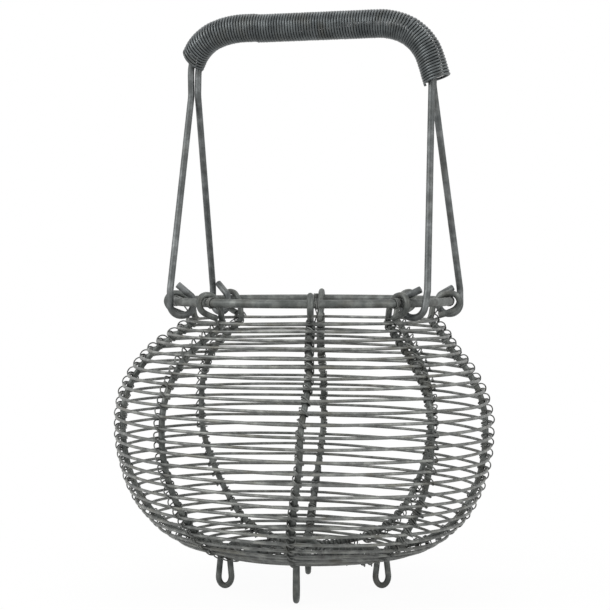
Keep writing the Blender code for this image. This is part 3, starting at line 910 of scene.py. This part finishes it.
left_corner = COIL_END_LEFT * math.cos(COIL_TURN_LEFT) - GRIP_HALF_SPAN_LEFT
right_end = GRIP_HALF_SPAN_RIGHT + coil_offset() * math.sin(COIL_TURN_RIGHT)
right_corner = right_end - COIL_END_RIGHT * math.cos(COIL_TURN_RIGHT)
left_start = left_corner + COIL_BEND_LEFT * math.tan(COIL_TURN_LEFT / 2)
right_start = right_corner - COIL_BEND_RIGHT * math.tan(COIL_TURN_RIGHT / 2)
print(f"the bails are straight for {(right_start - left_start) * 1000:.0f} mm")


# %% Draw the two bails
def hook_line(angle, tail_slope, sweep):
    """One hook, from its cut tail round under the rim to the foot of its leg.

    The sweep, in degrees, takes its lower part along the rim.
    """
    slope = math.radians(tail_slope)
    touch = (RIM_WIRE + BAIL_WIRE) / 2 + TAIL_CLEARANCE + HANDLE_SHIFT * math.sin(slope)
    tail_out = HOOK_OUT - BAIL_WIRE - 2 * SEAT_GAP
    start = touch / math.cos(slope)
    corners = [
        (tail_out, start + tail_out * math.tan(slope)),
        (-HOOK_IN, start - HOOK_IN * math.tan(slope)),
        (-HOOK_IN, -HOOK_DROP),
        (HOOK_OUT, -HOOK_DROP),
        (HOOK_OUT, HOOK_OUT),
    ]
    return [handle_middle + turned(angle - sweep * share, RIM_RADIUS + out, height)
            for (out, height), share in zip(corners, SWEEP_SHARES)]


def bail_line(name):
    """One bail from cut tail to cut tail. At the grip's left end one wire lies outside."""
    side = -1 if name == "front" else 1
    left_angle, right_angle = HOOK_ANGLES[name]
    left_sweep, right_sweep = HOOK_SWEEPS[name]
    beside = (BAIL_WIRE + SEAT_GAP) / 2
    apart = handle_across * side * beside
    left_leg = handle_middle + handle_along * (side * beside - GRIP_HALF_SPAN_LEFT)
    right_leg = handle_middle + apart + handle_along * GRIP_HALF_SPAN_RIGHT
    line = [
        *hook_line(left_angle, TAIL_SLOPE_LEFT, left_sweep),
        left_leg + UP * (GRIP_RISE - FAN_DROP_LEFT),
        left_leg + apart + UP * GRIP_RISE,
        right_leg + UP * GRIP_RISE,
        right_leg + UP * (GRIP_RISE - FAN_DROP_RIGHT),
        *hook_line(right_angle, TAIL_SLOPE_RIGHT, right_sweep)[::-1],
    ]
    hook_radii = [TAIL_BEND, HOOK_BEND, HOOK_BEND, HOOK_BEND, FAN_BEND]
    left_bend = left_start + GRIP_HALF_SPAN_LEFT + beside
    right_bend = GRIP_HALF_SPAN_RIGHT - right_start
    return rounded(line, [*hook_radii, left_bend, right_bend, *hook_radii[::-1]], BEND_STEPS)


for name in ("front", "rear"):
    drawn_wire(f"{name}_bail_wire", with_cut_ends(bail_line(name)), BAIL_WIRE, "bail_steel",
               "handle", sides=20, stands_for=[f"{name}_bail"])
print("bails drawn")

# %% [markdown]
# ## The grip
# A close coil of thin wire covers the two bails. Each of its ends bends down in two steps, a
# gentle one and a sharper one. The turns do not follow a bend at once: they lean, so that they
# stay close together on the outer side too. In the left bend they have also slipped: the front
# of each turn hangs lower than its back. Left of one place all turns sit a little higher. Both
# ends of the wire are on the inner side, and the right one is bent to point on down.

# %% Draw the grip coil
COIL_PLACES = ((-0.0966, 0.1804), (-0.0892, 0.1953), (-0.0664, 0.2031),
               (0.0599, 0.2031), (0.0824, 0.1900), (0.0913, 0.1611))
COIL_BENDS = (0.031, 0.061, 0.047, 0.038)
COIL_PITCH = 0.002085
COIL_STEP = 0.001
LEAN_REACH_LEFT = 0.012
LEAN_REACH_RIGHT = 0.022
STEEP_SHARE = 0.40
SLIP_SHARE = 0.31
TURN_POINTS = 24
TURN_WANDER = 0.00008
COIL_BEND_STEPS = 60
RAISED_SHARE = 0.266
RAISED_BY = 0.0006
TIP_LENGTH = 0.0016
coil_radius = (COIL_WIDTH - GRIP_WIRE) / 2


def coil_middle_line():
    """The middle of the coil, from its left end over the hand to its right end."""
    spots = [handle_middle + handle_along * along + UP * rise for along, rise in COIL_PLACES]
    return spread_out(rounded(spots, COIL_BENDS, COIL_BEND_STEPS), COIL_STEP)


def facing_line(middle):
    """The way each turn faces: the coil's own direction, evened out over its neighbours."""
    ways = [(after - before).normalized() for before, after in zip(middle, middle[1:])]
    evened = []
    for index in range(len(middle)):
        share = index / len(middle)
        far = LEAN_REACH_LEFT + (LEAN_REACH_RIGHT - LEAN_REACH_LEFT) * share
        reach = round(far / COIL_STEP)
        near = ways[max(index - reach, 0):index + reach]
        way = sum(near, Vector()).normalized()
        # Only the turns of the left half have slipped and lean further.
        if share < 0.5:
            slip = handle_across * way.z * SLIP_SHARE
            way = (way.lerp(handle_along, STEEP_SHARE) - slip).normalized()
        evened.append(way)
    return evened


def coil_line():
    """The coil's wire, with an even pitch along the coil's middle."""
    middle = coil_middle_line()
    facing = facing_line(middle)
    totals = lengths_along(middle)
    turns = round(totals[-1] / COIL_PITCH)
    nudges = [chance.uniform(-TURN_WANDER, TURN_WANDER) for _ in range(turns + 2)]
    nudges = [n + RAISED_BY if i < turns * RAISED_SHARE else n for i, n in enumerate(nudges)]
    line = []
    for index in range(turns * TURN_POINTS + 1):
        length = totals[-1] * index / (turns * TURN_POINTS)
        place = point_at(middle, totals, length)[0]
        way = point_at(facing, totals, length)[0].normalized()
        across = (handle_across - way * way.dot(handle_across)).normalized()
        outward = way.cross(across)
        angle = FULL_TURN * index / TURN_POINTS - QUARTER_TURN
        turn = index // TURN_POINTS
        share = index / TURN_POINTS - turn
        nudge = nudges[turn] * (1 - share) + nudges[turn + 1] * share
        line.append(place + outward * nudge
                    + (across * math.cos(angle) + outward * math.sin(angle)) * coil_radius)
    return [*line, line[-1] + way * TIP_LENGTH / 4, line[-1] + way * TIP_LENGTH]


coil = coil_line()
drawn_wire("grip_coil_wire", with_cut_ends(coil), GRIP_WIRE, "grip_steel", "handle", sides=8,
           stands_for=["grip_coil"])
print("coil turns:", len(coil) // TURN_POINTS)
